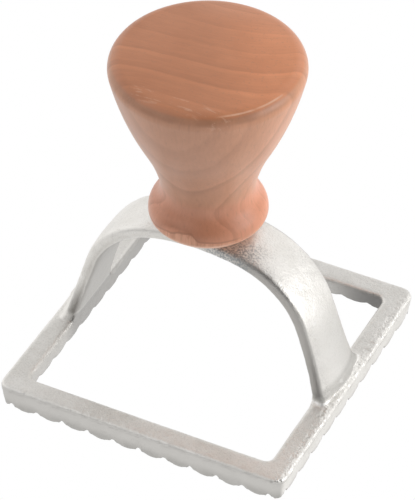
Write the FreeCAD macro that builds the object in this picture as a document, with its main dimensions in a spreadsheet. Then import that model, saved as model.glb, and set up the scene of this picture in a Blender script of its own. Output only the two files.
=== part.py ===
# Ravioli stamp: a square scalloped casting with an arch over it, a turned wooden handle and its screw.
# Millimetres. The origin is at the bottom centre, on the tips of the scallops. X runs along the arch,
# Y runs through it, and +Z is up through the handle.
import FreeCAD, Part
import Sketcher
import math
import os

PLAN = FreeCAD.Vector

# Driving sizes: each name is an alias in the sheet.
SIZES = {
    # the square frame
    "frame_width": 70.2,
    "frame_height": 6.7,
    "frame_corner": 3.0,
    "wall_width": 5.6,
    "opening_corner": 1.5,
    "wall_draft": 7.5,
    "outer_edge_round": 0.9,
    "inner_edge_round": 1.1,
    # the scalloped lower edge
    "scallops_per_side": 10,
    "corner_lobe": 3.45,
    "scallop_depth": 2.1,
    "scallop_depth_inside": 0.7,
    "scallop_land": 0.02,
    "bevel_rise": 2.5,
    # the arch: its inner line, then the sections of the legs and the band
    "arch_rise": 31.1,
    "leg_lean": 17.2,
    "shoulder_radius": 19.7,
    "crown_half_angle": 12.4,
    "foot_half_width": 8.6,
    "foot_edge_thickness": 2.35,
    "foot_thickness": 4.2,
    "band_half_width": 7.25,
    "band_edge_thickness": 3.2,
    "band_thickness": 3.6,
    "band_edge_round": 0.9,
    "band_inner_round": 0.7,
    "blend_radius": 1.0,
    # the round seat for the handle on top of the arch
    "seat_radius": 6.3,
    "seat_rise": 1.8,
    "seat_depth": 3.0,
    # the turned handle, radii and heights above its base
    "base_radius": 11.9,
    "base_chamfer": 0.7,
    "bead_radius": 13.1,
    "bead_height": 2.0,
    "neck_radius": 10.35,
    "neck_height": 9.0,
    "neck_lower_curve": 5.5,
    "neck_curve": 4.0,
    "neck_curve_end": 9.8,
    "shaft_curve": 40.0,
    "flank_curve": 80.0,
    "head_radius": 21.15,
    "head_height": 40.1,
    "rim_radius": 3.0,
    "top_dome": 0.8,
    # the screw
    "screw_radius": 2.0,
    "screw_length": 26.0,
    "screw_head_radius": 4.0,
    "screw_head_height": 2.4,
    "screw_head_round": 1.4,
    "screw_point": 2.5,
    "slot_width": 1.1,
    "slot_depth": 1.2,
    "screw_clearance": 0.25,
    "pilot_clearance": 0.05,
    "pilot_spare": 3.0,
    "spotface_clearance": 0.5,
    "spotface_depth": 0.9,
}

# Heights of the planes where pieces meet, and lengths that several features share.
CROWN = "Sizes.frame_height + Sizes.arch_rise"
SEAT = f"{CROWN} + Sizes.band_thickness + Sizes.seat_rise"
SCREW_SEAT = f"{CROWN} + Sizes.spotface_depth"
PITCH = "(Sizes.frame_width - 2 * Sizes.corner_lobe) / Sizes.scallops_per_side"
MOUTH_HALF = "(Sizes.frame_width / 2 - Sizes.wall_width)"
LOWER_HALF = "(Sizes.frame_width / 2 - Sizes.frame_height * tan(Sizes.wall_draft))"
WALL = f"({LOWER_HALF} - {MOUTH_HALF})"
CUSP_CLIMB = "Sizes.bevel_rise + Sizes.scallop_depth_inside - Sizes.scallop_depth"
LEG_TOP_ALONG = "arch_line.Constraints.leg_top_along / 1 mm"
LEG_TOP_UP = "arch_line.Constraints.leg_top_up / 1 mm"

# The cutter's planes stand this far outside the wall on both sides.
CUTTER_MARGIN = 1.2
CUTTER_DEPTH = 4.0

# Places along a leg, from its top (0) to its foot (1) and on into the frame.
LEG_STATIONS = (0.0, 0.35, 0.7, 1.0, 1.15)
# Places of the blend at the foot, each with its step out from the leg in blend radii.
BLEND_STATIONS = ((0.925, -0.25), (0.98, 0.25), (1.025, 0.9))


def make_sheet(doc):
    sheet = doc.addObject("Spreadsheet::Sheet", "Sizes")
    for row, (name, value) in enumerate(SIZES.items(), start=1):
        sheet.set(f"A{row}", name)
        sheet.set(f"B{row}", str(value))
        sheet.setAlias(f"B{row}", name)
    doc.recompute()
    return sheet


def origin_plane(body, role):
    for feature in body.Origin.OriginFeatures:
        if feature.Role == role:
            return feature
    raise RuntimeError(f"{body.Name} has no {role}")


def add_sketch(body, name, role):
    # XY_Plane sketches: x, y are X, Y. XZ_Plane: X, Z, offset along -Y. YZ_Plane: Y, Z, offset along X.
    sketch = body.newObject("Sketcher::SketchObject", name)
    sketch.AttachmentSupport = [(origin_plane(body, role), "")]
    sketch.MapMode = "FlatFace"
    return sketch


def bind(obj, values):
    for name, expression in values.items():
        obj.setExpression(name, expression)


def constrain(sketch, kind, *references, name=None, size=None, guess=None):
    # A named constraint takes its size from the sheet; guess only helps the first solution.
    if size is None:
        return sketch.addConstraint(Sketcher.Constraint(kind, *references))
    index = sketch.addConstraint(Sketcher.Constraint(kind, *references, guess))
    sketch.renameConstraint(index, name)
    sketch.setExpression(f".Constraints.{name}", size)
    return index


def rounded_square(sketch, half, radius, half_size, corner_size):
    # Four lines and four corner arcs about the origin, from guesses and from the sizes that then hold them.
    flat = half - radius
    corners = [(1, -1), (1, 1), (-1, 1), (-1, -1)]
    lines = []
    arcs = []
    for side in range(4):
        a = corners[(side + 3) % 4]
        b = corners[side]
        along_x = a[1] == b[1]
        start = PLAN(a[0] * (flat if along_x else half), a[1] * (half if along_x else flat), 0)
        end = PLAN(b[0] * (flat if along_x else half), b[1] * (half if along_x else flat), 0)
        lines.append(sketch.addGeometry(Part.LineSegment(start, end), False))
    for side in range(4):
        sx, sy = corners[side]
        circle = Part.Circle(PLAN(sx * flat, sy * flat, 0), PLAN(0, 0, 1), radius)
        first = math.radians(-90 + 90 * side)
        arcs.append(sketch.addGeometry(Part.ArcOfCircle(circle, first, first + math.pi / 2), False))
    for side in range(4):
        constrain(sketch, "Tangent", lines[side], 2, arcs[side], 1)
        constrain(sketch, "Tangent", arcs[side], 2, lines[(side + 1) % 4], 1)
    constrain(sketch, "Horizontal", lines[0])
    constrain(sketch, "Vertical", lines[1])
    constrain(sketch, "Horizontal", lines[2])
    constrain(sketch, "Vertical", lines[3])
    for side in range(1, 4):
        constrain(sketch, "Equal", arcs[0], arcs[side])
    constrain(sketch, "Symmetric", arcs[0], 3, arcs[2], 3, -1, 1)
    wide = f"2 * {half_size}"
    constrain(sketch, "DistanceX", lines[3], 1, lines[1], 1, name="width", size=wide, guess=2 * half)
    constrain(sketch, "DistanceY", lines[0], 1, lines[2], 1, name="depth", size=wide, guess=2 * half)
    constrain(sketch, "Radius", arcs[0], name="corner", size=corner_size, guess=radius)


def point_at(sketch, element, vertex, name, x=None, y=None, guess=(0, 0)):
    # Holds a vertex at a distance from both axes; None keeps it on the axis.
    if x is None:
        constrain(sketch, "PointOnObject", element, vertex, -2)
    elif guess[0] > 0:
        constrain(sketch, "DistanceX", -1, 1, element, vertex, name=f"{name}_x", size=x, guess=guess[0])
    else:
        constrain(sketch, "DistanceX", element, vertex, -1, 1, name=f"{name}_x", size=x, guess=-guess[0])
    if y is None:
        constrain(sketch, "PointOnObject", element, vertex, -1)
    elif guess[1] > 0:
        constrain(sketch, "DistanceY", -1, 1, element, vertex, name=f"{name}_y", size=y, guess=guess[1])
    else:
        constrain(sketch, "DistanceY", element, vertex, -1, 1, name=f"{name}_y", size=y, guess=-guess[1])


def polygon(sketch, points):
    # Closed lines through the points, joined at their ends.
    lines = []
    for index, start in enumerate(points):
        end = points[(index + 1) % len(points)]
        lines.append(line_between(sketch, start, end))
    for index, line in enumerate(lines):
        constrain(sketch, "Coincident", line, 2, lines[(index + 1) % len(lines)], 1)
    return lines


def line_between(sketch, start, end, helper=False):
    return sketch.addGeometry(Part.LineSegment(PLAN(*start, 0), PLAN(*end, 0)), helper)


def arc_between(sketch, centre, start, end):
    # An arc that runs counterclockwise from start to end.
    radius = math.dist(centre, start)
    circle = Part.Circle(PLAN(centre[0], centre[1], 0), PLAN(0, 0, 1), radius)
    first = math.atan2(start[1] - centre[1], start[0] - centre[0])
    last = math.atan2(end[1] - centre[1], end[0] - centre[0])
    return sketch.addGeometry(Part.ArcOfCircle(circle, first, last), False)


def helper_point(sketch, x, y):
    return sketch.addGeometry(Part.Point(PLAN(x, y, 0)), True)


def ring_sketch(body, name, height, radius, guess):
    # A circle about Z on a level plane.
    sketch = add_sketch(body, name, "XY_Plane")
    bind(sketch, {"AttachmentOffset.Base.z": height})
    circle = sketch.addGeometry(Part.Circle(PLAN(0, 0, 0), PLAN(0, 0, 1), guess), False)
    constrain(sketch, "Coincident", circle, 3, -1, 1)
    constrain(sketch, "Radius", circle, name="radius", size=radius, guess=guess)
    return sketch


def top_edges(shape, height, outer, limit):
    # Names of the level edges at a height, either outside or inside a half width.
    names = []
    for number, edge in enumerate(shape.Edges, start=1):
        box = edge.BoundBox
        if abs(box.ZMin - height) > 1e-4 or abs(box.ZMax - height) > 1e-4:
            continue
        reach = max(abs(box.XMin), abs(box.XMax), abs(box.YMin), abs(box.YMax))
        if (reach > limit) == outer:
            names.append(f"Edge{number}")
    return names


def make_scallop_cutter(doc, size):
    # The room under the frame: a bevelled bar with a row of cusped ridges, mitred and repeated on four sides.
    body = doc.addObject("PartDesign::Body", "scallop_cutter")
    lower = size["frame_width"] / 2 - size["frame_height"] * math.tan(math.radians(size["wall_draft"]))
    inner = size["frame_width"] / 2 - size["wall_width"]
    wall = lower - inner
    far = lower + CUTTER_MARGIN
    near = inner - CUTTER_MARGIN
    reach = CUTTER_MARGIN / wall
    far_size = f"{LOWER_HALF} + {CUTTER_MARGIN}"
    near_size = f"{MOUTH_HALF} - {CUTTER_MARGIN}"
    rise = size["bevel_rise"]

    section = add_sketch(body, "bevel_section", "YZ_Plane")
    outer_top = -rise * reach
    inner_top = rise * (1 + reach)
    corners = [(-far, -CUTTER_DEPTH), (-near, -CUTTER_DEPTH), (-near, inner_top), (-far, outer_top)]
    lines = polygon(section, corners)
    point_at(section, lines[0], 1, "low", far_size, str(CUTTER_DEPTH), corners[0])
    point_at(section, lines[1], 1, "low_inner", near_size, str(CUTTER_DEPTH), corners[1])
    inner_size = f"Sizes.bevel_rise * (1 + {CUTTER_MARGIN} / {WALL})"
    outer_size = f"Sizes.bevel_rise * {CUTTER_MARGIN} / {WALL}"
    point_at(section, lines[2], 1, "top_inner", near_size, inner_size, corners[2])
    point_at(section, lines[3], 1, "top", far_size, outer_size, corners[3])
    bar = body.newObject("PartDesign::Pad", "bevel_bar")
    bar.Profile = section
    bar.Midplane = True
    bind(bar, {"Length": f"2 * ({far_size})"})

    def ridge_sketch(name, plane_size, apex, cusp, apex_size, cusp_size):
        sketch = add_sketch(body, name, "XZ_Plane")
        bind(sketch, {
            "AttachmentOffset.Base.x": "-(Sizes.frame_width / 2 - Sizes.corner_lobe)",
            "AttachmentOffset.Base.z": plane_size,
        })
        half = (size["frame_width"] / 2 - size["corner_lobe"]) / size["scallops_per_side"]
        low = apex - size["scallop_land"]
        drop = cusp - low
        radius = (half * half + drop * drop) / (2 * drop)
        floor = line_between(sketch, (-half, -CUTTER_DEPTH), (half, -CUTTER_DEPTH))
        right = line_between(sketch, (half, -CUTTER_DEPTH), (half, low))
        falling = arc_between(sketch, (half, low + radius), (0, cusp), (half, low))
        rising = arc_between(sketch, (-half, low + radius), (-half, low), (0, cusp))
        left = line_between(sketch, (-half, low), (-half, -CUTTER_DEPTH))
        constrain(sketch, "Coincident", floor, 2, right, 1)
        constrain(sketch, "Coincident", right, 2, falling, 2)
        constrain(sketch, "Coincident", falling, 1, rising, 2)
        constrain(sketch, "Coincident", rising, 1, left, 1)
        constrain(sketch, "Coincident", left, 2, floor, 1)
        constrain(sketch, "Vertical", right)
        constrain(sketch, "Vertical", left)
        constrain(sketch, "Vertical", falling, 3, falling, 2)
        constrain(sketch, "Vertical", rising, 3, rising, 1)
        constrain(sketch, "Symmetric", floor, 1, floor, 2, -2)
        constrain(sketch, "Horizontal", rising, 1, falling, 2)
        constrain(sketch, "PointOnObject", falling, 1, -2)
        constrain(sketch, "DistanceX", floor, 1, floor, 2, name="pitch", size=PITCH, guess=2 * half)
        constrain(sketch, "DistanceY", floor, 1, -1, 1, name="floor",
                  size=str(CUTTER_DEPTH), guess=CUTTER_DEPTH)
        constrain(sketch, "DistanceY", floor, 1, rising, 1, name="apex",
                  size=f"{CUTTER_DEPTH} + {apex_size} - Sizes.scallop_land", guess=low + CUTTER_DEPTH)
        constrain(sketch, "DistanceY", floor, 1, falling, 1, name="cusp",
                  size=f"{CUTTER_DEPTH} + {cusp_size}", guess=cusp + CUTTER_DEPTH)
        return sketch

    inner_cusp = rise + size["scallop_depth_inside"]
    climb = inner_cusp - size["scallop_depth"]
    climb_size = f"({CUSP_CLIMB}) * {CUTTER_MARGIN} / {WALL}"
    outside = ridge_sketch(
        "ridge_outside", far_size, outer_top, size["scallop_depth"] - climb * reach,
        f"-({outer_size})", f"Sizes.scallop_depth - {climb_size}")
    inside = ridge_sketch(
        "ridge_inside", near_size, inner_top, inner_cusp + climb * reach,
        inner_size, f"Sizes.bevel_rise + Sizes.scallop_depth_inside + {climb_size}")
    ridge = body.newObject("PartDesign::AdditiveLoft", "ridge")
    ridge.Profile = outside
    ridge.Sections = [inside]
    ridge.Ruled = True
    doc.recompute()

    row = body.newObject("PartDesign::LinearPattern", "ridge_row")
    row.Originals = [ridge]
    row.Direction = (outside, ["H_Axis"])
    bind(row, {
        "Length": "Sizes.frame_width - 2 * Sizes.corner_lobe",
        "Occurrences": "Sizes.scallops_per_side + 1",
    })
    body.Tip = row
    doc.recompute()

    mitre = add_sketch(body, "mitre_plan", "XY_Plane")
    past = far + CUTTER_MARGIN
    short = near - CUTTER_MARGIN
    past_size = f"{far_size} + {CUTTER_MARGIN}"
    short_size = f"{near_size} - {CUTTER_MARGIN}"
    for side, word in ((1, "right"), (-1, "left")):
        points = [(side * short, -short), (side * past, -past), (side * past, -short)]
        lines = polygon(mitre, points)
        point_at(mitre, lines[0], 1, f"{word}_near", short_size, short_size, points[0])
        point_at(mitre, lines[1], 1, f"{word}_far", past_size, past_size, points[1])
        point_at(mitre, lines[2], 1, f"{word}_side", past_size, short_size, points[2])
    cut = body.newObject("PartDesign::Pocket", "mitre")
    cut.Profile = mitre
    cut.Type = "ThroughAll"
    cut.Midplane = True
    doc.recompute()

    around = body.newObject("PartDesign::PolarPattern", "four_sides")
    around.TransformMode = "Whole shape"
    around.Axis = (mitre, ["N_Axis"])
    around.Angle = 360
    around.Occurrences = 4
    body.Tip = around
    doc.recompute()
    return body


def make_frame(doc, body, size):
    # A square ring, drawn at its flat top and padded down with draft, its top edges rounded.
    half = size["frame_width"] / 2
    mouth_half = half - size["wall_width"]
    outline = add_sketch(body, "frame_outline", "XY_Plane")
    bind(outline, {"AttachmentOffset.Base.z": "Sizes.frame_height"})
    rounded_square(outline, half, size["frame_corner"], "Sizes.frame_width / 2", "Sizes.frame_corner")
    block = body.newObject("PartDesign::Pad", "frame_block")
    block.Profile = outline
    block.Reversed = True
    bind(block, {"Length": "Sizes.frame_height", "TaperAngle": "-Sizes.wall_draft"})

    mouth = add_sketch(body, "opening_outline", "XY_Plane")
    bind(mouth, {"AttachmentOffset.Base.z": "Sizes.frame_height"})
    rounded_square(mouth, mouth_half, size["opening_corner"], MOUTH_HALF, "Sizes.opening_corner")
    opening = body.newObject("PartDesign::Pocket", "opening")
    opening.Profile = mouth
    opening.Type = "ThroughAll"
    doc.recompute()

    limit = (half + mouth_half) / 2
    for name, outer in (("outer_edge", True), ("inner_edge", False)):
        below = body.Tip
        rounding = body.newObject("PartDesign::Fillet", name)
        rounding.Base = (below, top_edges(below.Shape, size["frame_height"], outer, limit))
        bind(rounding, {"Radius": f"Sizes.{name}_round"})
        body.Tip = rounding
        doc.recompute()


def cut_scallops(doc, body, cutter):
    # Takes the cutter's room away from the underside of the ring.
    scallops = body.newObject("PartDesign::Boolean", "scallops")
    scallops.setObjects([cutter])
    scallops.Type = "Cut"
    body.Tip = scallops
    doc.recompute()


def section_sketch(body, name, along, up, turn, half, edge, centre, size, guess):
    # A D section: flat on the inside of the arch, crowned outside, all four corners rounded.
    # In the sketch, x runs out from the inner line and y runs across the band.
    sketch = add_sketch(body, name, "XY_Plane")
    sketch.AttachmentOffset = FreeCAD.Placement(PLAN(0, 0, 0), FreeCAD.Rotation(PLAN(0, 1, 0), -45))
    bind(sketch, {
        "AttachmentOffset.Base.x": along,
        "AttachmentOffset.Base.z": up,
        "AttachmentOffset.Rotation.Angle": turn,
    })
    b, e, c = guess
    inner_round = size["band_inner_round"]
    outer_round = size["band_edge_round"]
    crown = (b * b + (c - e) ** 2) / (2 * (c - e))
    middle = c - crown
    shoulder_x = middle + math.sqrt((crown - outer_round) ** 2 - (b - outer_round) ** 2)
    shoulder = (shoulder_x, b - outer_round)
    reach = crown / (crown - outer_round)
    touch = (middle + (shoulder_x - middle) * reach, (b - outer_round) * reach)
    bottom = b - inner_round

    flat = line_between(sketch, (0, bottom), (0, -bottom))
    low_in = arc_between(sketch, (inner_round, -bottom), (0, -bottom), (inner_round, -b))
    low_side = line_between(sketch, (inner_round, -b), (shoulder_x, -b))
    low_out = arc_between(sketch, (shoulder[0], -shoulder[1]), (shoulder_x, -b), (touch[0], -touch[1]))
    back = arc_between(sketch, (middle, 0), (touch[0], -touch[1]), touch)
    top_out = arc_between(sketch, shoulder, touch, (shoulder_x, b))
    top_side = line_between(sketch, (shoulder_x, b), (inner_round, b))
    top_in = arc_between(sketch, (inner_round, bottom), (inner_round, b), (0, bottom))
    loop = [flat, low_in, low_side, low_out, back, top_out, top_side, top_in]
    for index, element in enumerate(loop):
        constrain(sketch, "Tangent", element, 2, loop[(index + 1) % len(loop)], 1)
    constrain(sketch, "Horizontal", low_side)
    constrain(sketch, "Horizontal", top_side)
    constrain(sketch, "Symmetric", flat, 1, flat, 2, -1)
    constrain(sketch, "PointOnObject", flat, 1, -2)
    constrain(sketch, "PointOnObject", back, 3, -1)
    constrain(sketch, "Equal", low_in, top_in)
    constrain(sketch, "Equal", low_out, top_out)
    constrain(sketch, "Radius", top_in, name="inner_round", size="Sizes.band_inner_round", guess=inner_round)
    constrain(sketch, "Radius", top_out, name="outer_round", size="Sizes.band_edge_round", guess=outer_round)
    constrain(sketch, "DistanceY", -1, 1, top_side, 1, name="half_width", size=half, guess=b)
    peak = helper_point(sketch, c, 0)
    constrain(sketch, "PointOnObject", peak, 1, back)
    constrain(sketch, "PointOnObject", peak, 1, -1)
    constrain(sketch, "DistanceX", -1, 1, peak, 1, name="thickness", size=centre, guess=c)
    corner = helper_point(sketch, e, b)
    constrain(sketch, "PointOnObject", corner, 1, back)
    constrain(sketch, "PointOnObject", corner, 1, top_side)
    constrain(sketch, "DistanceX", -1, 1, corner, 1, name="edge_thickness", size=edge, guess=e)
    return sketch


def between(start, end, part):
    # A size that starts level at the leg's top and reaches its end value at the foot.
    return f"Sizes.{start} + (Sizes.{end} - Sizes.{start}) * {part} ^ 2"


def make_arch(doc, body, size):
    # Half of the arch's inner line: crown arc, shoulder arc and straight leg, tangent to each other.
    lean = math.radians(size["leg_lean"])
    turn = math.radians(size["crown_half_angle"])
    shoulder = size["shoulder_radius"]
    drop = size["arch_rise"] - shoulder * (1 - math.sin(lean))
    foot = (size["frame_width"] / 2 - size["wall_width"], 0)
    span = foot[0] - shoulder * math.cos(lean)
    spread = (1 - math.cos(turn)) * math.sin(lean) - math.cos(lean) * math.sin(turn)
    crown = shoulder + (drop * math.sin(lean) - span * math.cos(lean)) / spread
    crown_centre = (0, size["arch_rise"] - crown)
    centre = tuple(a + (crown - shoulder) * b for a, b in zip(crown_centre, (math.sin(turn), math.cos(turn))))
    joint = tuple(a + crown * b for a, b in zip(crown_centre, (math.sin(turn), math.cos(turn))))
    leg_top = (centre[0] + shoulder * math.cos(lean), centre[1] + shoulder * math.sin(lean))

    line = add_sketch(body, "arch_line", "XZ_Plane")
    bind(line, {"AttachmentOffset.Base.y": "Sizes.frame_height"})
    top = arc_between(line, crown_centre, joint, (0, size["arch_rise"]))
    bend = arc_between(line, centre, leg_top, joint)
    leg = line_between(line, foot, leg_top, helper=True)
    constrain(line, "Tangent", top, 1, bend, 2)
    constrain(line, "Tangent", bend, 1, leg, 2)
    constrain(line, "PointOnObject", top, 2, -2)
    constrain(line, "PointOnObject", top, 3, -2)
    constrain(line, "PointOnObject", leg, 1, -1)
    constrain(line, "DistanceY", -1, 1, top, 2, name="rise", size="Sizes.arch_rise", guess=size["arch_rise"])
    constrain(line, "Radius", bend, name="shoulder", size="Sizes.shoulder_radius", guess=shoulder)
    constrain(line, "DistanceX", -1, 1, leg, 1, name="foot", size=MOUTH_HALF, guess=foot[0])
    ray = line_between(line, crown_centre, joint, helper=True)
    constrain(line, "Coincident", ray, 1, top, 3)
    constrain(line, "Coincident", ray, 2, top, 1)
    constrain(line, "Angle", ray, 1, -2, 1, name="crown_half", size="Sizes.crown_half_angle", guess=turn)
    constrain(line, "Angle", -2, 1, leg, 1, name="lean", size="Sizes.leg_lean", guess=lean)
    for kind, name, place in zip(("DistanceX", "DistanceY"), ("leg_top_along", "leg_top_up"), leg_top):
        index = line.addConstraint(Sketcher.Constraint(kind, -1, 1, leg, 2, place))
        line.renameConstraint(index, name)
        line.setDriving(index, False)
    doc.recompute()

    band = (size["band_half_width"], size["band_edge_thickness"], size["band_thickness"])
    crown_section = section_sketch(
        body, "crown_section", "0", f"{CROWN}", "-90",
        "Sizes.band_half_width", "Sizes.band_edge_thickness", "Sizes.band_thickness", size, band)
    hoop = body.newObject("PartDesign::AdditivePipe", "hoop")
    hoop.Profile = crown_section
    hoop.Spine = line
    doc.recompute()

    def leg_section(name, part, step=0.0):
        along = f"{LEG_TOP_ALONG} + ({MOUTH_HALF} - {LEG_TOP_ALONG}) * {part}"
        up = f"Sizes.frame_height + {LEG_TOP_UP} * (1 - {part})"
        grow = f" + Sizes.blend_radius * {step}" if step else ""
        sizes = []
        guess = []
        for start, end in (("band_half_width", "foot_half_width"),
                           ("band_edge_thickness", "foot_edge_thickness"),
                           ("band_thickness", "foot_thickness")):
            sizes.append(between(start, end, part) + grow)
            guess.append(size[start] + (size[end] - size[start]) * part ** 2 + size["blend_radius"] * step)
        return section_sketch(body, name, along, up, "-Sizes.leg_lean", *sizes, size, guess)

    sections = [leg_section(f"leg_section_{index}", part) for index, part in enumerate(LEG_STATIONS)]
    leg_loft = body.newObject("PartDesign::AdditiveLoft", "leg")
    leg_loft.Profile = sections[0]
    leg_loft.Sections = sections[1:]
    doc.recompute()
    sections = []
    for index, (part, step) in enumerate(BLEND_STATIONS):
        sections.append(leg_section(f"blend_section_{index}", part, step))
    blend = body.newObject("PartDesign::AdditiveLoft", "foot_blend")
    blend.Profile = sections[0]
    blend.Sections = sections[1:]
    doc.recompute()
    other = body.newObject("PartDesign::Mirrored", "other_leg")
    other.Originals = [hoop, leg_loft, blend]
    other.MirrorPlane = (origin_plane(body, "YZ_Plane"), [""])
    body.Tip = other
    doc.recompute()


def make_screw_seat(doc, body, size):
    # A round seat on the crown, a clearance hole down through it and a spotface under the crown.
    seat_outline = ring_sketch(body, "seat_outline", SEAT, "Sizes.seat_radius", size["seat_radius"])
    seat = body.newObject("PartDesign::Pad", "seat")
    seat.Profile = seat_outline
    seat.Reversed = True
    bind(seat, {"Length": "Sizes.seat_depth"})
    hole_size = "Sizes.screw_radius + Sizes.screw_clearance"
    hole_outline = ring_sketch(body, "hole_outline", SEAT, hole_size, size["screw_radius"])
    hole = body.newObject("PartDesign::Pocket", "screw_hole")
    hole.Profile = hole_outline
    bind(hole, {"Length": "Sizes.arch_rise"})
    face_size = "Sizes.screw_head_radius + Sizes.spotface_clearance"
    face_outline = ring_sketch(body, "spotface_outline", SCREW_SEAT, face_size, size["screw_head_radius"])
    spotface = body.newObject("PartDesign::Pocket", "spotface")
    spotface.Profile = face_outline
    bind(spotface, {"Length": "2 * Sizes.spotface_depth"})
    body.Tip = spotface
    doc.recompute()


def make_handle(doc, size):
    # The turned handle: base, bead, neck, flared head and slightly domed top, with a blind pilot hole.
    body = doc.addObject("PartDesign::Body", "handle")
    bind(body, {"Placement.Base.z": SEAT})
    base = (size["base_radius"], 0)
    rim_start = (size["base_radius"] + size["base_chamfer"], size["base_chamfer"])
    bead = (size["bead_radius"], size["bead_height"])
    neck = (size["neck_radius"], size["neck_height"])
    rise = neck[1] - bead[1]
    drop = bead[0] - neck[0]
    total = (rise * rise + drop * drop) / (2 * drop)
    lower = size["neck_lower_curve"]
    shoulder = total - lower
    gap = (bead[0] - rim_start[0], bead[1] - rim_start[1])
    under = (gap[0] ** 2 + gap[1] ** 2) / (2 * gap[0])
    bead_join = (bead[0] - drop * shoulder / total, bead[1] + rise * shoulder / total)
    small = size["neck_curve"]
    small_centre = (neck[0] + small, neck[1])
    climb = size["neck_curve_end"] - neck[1]
    small_end = (small_centre[0] - math.sqrt(small * small - climb * climb), size["neck_curve_end"])
    shaft = size["shaft_curve"]
    shaft_centre = (small_end[0] + (small_centre[0] - small_end[0]) * shaft / small,
                    small_end[1] + (small_centre[1] - small_end[1]) * shaft / small)
    rim = size["rim_radius"]
    rim_centre = (size["head_radius"] - rim, size["head_height"])
    flank = size["flank_curve"]
    span = math.dist(shaft_centre, rim_centre)
    near = flank - rim
    far = flank + shaft
    foot = (near * near - far * far + span * span) / (2 * span)
    side = math.sqrt(near * near - foot * foot)
    unit = ((shaft_centre[0] - rim_centre[0]) / span, (shaft_centre[1] - rim_centre[1]) / span)
    on_line = (rim_centre[0] + unit[0] * foot, rim_centre[1] + unit[1] * foot)
    offset = (-unit[1] * side, unit[0] * side)
    flank_centre = min((on_line[0] + way * offset[0], on_line[1] + way * offset[1]) for way in (1, -1))
    shaft_end = tuple(a + (b - a) * shaft / far for a, b in zip(shaft_centre, flank_centre))
    flank_end = tuple(a + (b - a) * flank / near for a, b in zip(flank_centre, rim_centre))
    height = size["head_height"] + rim + size["top_dome"]
    dome_drop = size["top_dome"] + rim
    dome = (rim_centre[0] ** 2 + dome_drop ** 2 - rim * rim) / (2 * (dome_drop - rim))
    dome_centre = (0, height - dome)
    rim_end = tuple(a + (b - a) * dome / (dome - rim) for a, b in zip(dome_centre, rim_centre))

    profile = add_sketch(body, "handle_profile", "XZ_Plane")
    axis = line_between(profile, (0, height), (0, 0))
    floor = line_between(profile, (0, 0), base)
    chamfer = line_between(profile, base, rim_start)
    arcs = [
        arc_between(profile, (bead[0] - under, bead[1]), rim_start, bead),
        arc_between(profile, (bead[0] - shoulder, bead[1]), bead, bead_join),
        arc_between(profile, (neck[0] + lower, neck[1]), neck, bead_join),
        arc_between(profile, small_centre, small_end, neck),
        arc_between(profile, shaft_centre, shaft_end, small_end),
        arc_between(profile, flank_centre, shaft_end, flank_end),
        arc_between(profile, rim_centre, flank_end, rim_end),
        arc_between(profile, dome_centre, rim_end, (0, height)),
    ]
    under_bead, over_bead, into_neck, out_of_neck, shaft_arc, flank_arc, rim_arc, top = arcs
    constrain(profile, "Coincident", axis, 2, floor, 1)
    constrain(profile, "Coincident", floor, 2, chamfer, 1)
    constrain(profile, "Coincident", chamfer, 2, under_bead, 1)
    constrain(profile, "Tangent", under_bead, 2, over_bead, 1)
    constrain(profile, "Tangent", over_bead, 2, into_neck, 2)
    constrain(profile, "Tangent", into_neck, 1, out_of_neck, 2)
    constrain(profile, "Tangent", out_of_neck, 1, shaft_arc, 2)
    constrain(profile, "Tangent", shaft_arc, 1, flank_arc, 1)
    constrain(profile, "Tangent", flank_arc, 2, rim_arc, 1)
    constrain(profile, "Tangent", rim_arc, 2, top, 1)
    constrain(profile, "Coincident", top, 2, axis, 1)
    constrain(profile, "Coincident", axis, 2, -1, 1)
    constrain(profile, "Vertical", axis)
    constrain(profile, "Horizontal", floor)
    constrain(profile, "PointOnObject", top, 3, -2)
    constrain(profile, "Horizontal", over_bead, 3, over_bead, 1)
    constrain(profile, "Horizontal", into_neck, 3, into_neck, 1)
    constrain(profile, "DistanceX", -1, 1, floor, 2, name="base", size="Sizes.base_radius", guess=base[0])
    point_at(profile, chamfer, 2, "chamfer",
             "Sizes.base_radius + Sizes.base_chamfer", "Sizes.base_chamfer", rim_start)
    point_at(profile, over_bead, 1, "bead", "Sizes.bead_radius", "Sizes.bead_height", bead)
    point_at(profile, into_neck, 1, "neck", "Sizes.neck_radius", "Sizes.neck_height", neck)
    constrain(profile, "Radius", into_neck, name="lower_curve", size="Sizes.neck_lower_curve", guess=lower)
    constrain(profile, "Radius", out_of_neck, name="neck_curve", size="Sizes.neck_curve", guess=small)
    constrain(profile, "DistanceY", -1, 1, out_of_neck, 1, name="curve_end", size="Sizes.neck_curve_end",
              guess=small_end[1])
    constrain(profile, "Radius", shaft_arc, name="shaft_curve", size="Sizes.shaft_curve", guess=shaft)
    constrain(profile, "Radius", flank_arc, name="flank_curve", size="Sizes.flank_curve", guess=flank)
    constrain(profile, "Radius", rim_arc, name="rim", size="Sizes.rim_radius", guess=rim)
    point_at(profile, rim_arc, 3, "rim_centre",
             "Sizes.head_radius - Sizes.rim_radius", "Sizes.head_height", rim_centre)
    constrain(profile, "DistanceY", -1, 1, axis, 1, name="height",
              size="Sizes.head_height + Sizes.rim_radius + Sizes.top_dome", guess=height)
    doc.recompute()
    turned = body.newObject("PartDesign::Revolution", "turned_handle")
    turned.Profile = profile
    turned.ReferenceAxis = (profile, ["V_Axis"])
    turned.Angle = 360
    pilot_outline = ring_sketch(
        body, "pilot_outline", "0", "Sizes.screw_radius + Sizes.pilot_clearance", size["screw_radius"])
    pilot = body.newObject("PartDesign::Pocket", "pilot_hole")
    pilot.Profile = pilot_outline
    pilot.Reversed = True
    bind(pilot, {"Length": f"Sizes.screw_length + Sizes.pilot_spare - ({SEAT}) + ({SCREW_SEAT})"})
    body.Tip = pilot
    doc.recompute()
    return body


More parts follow.
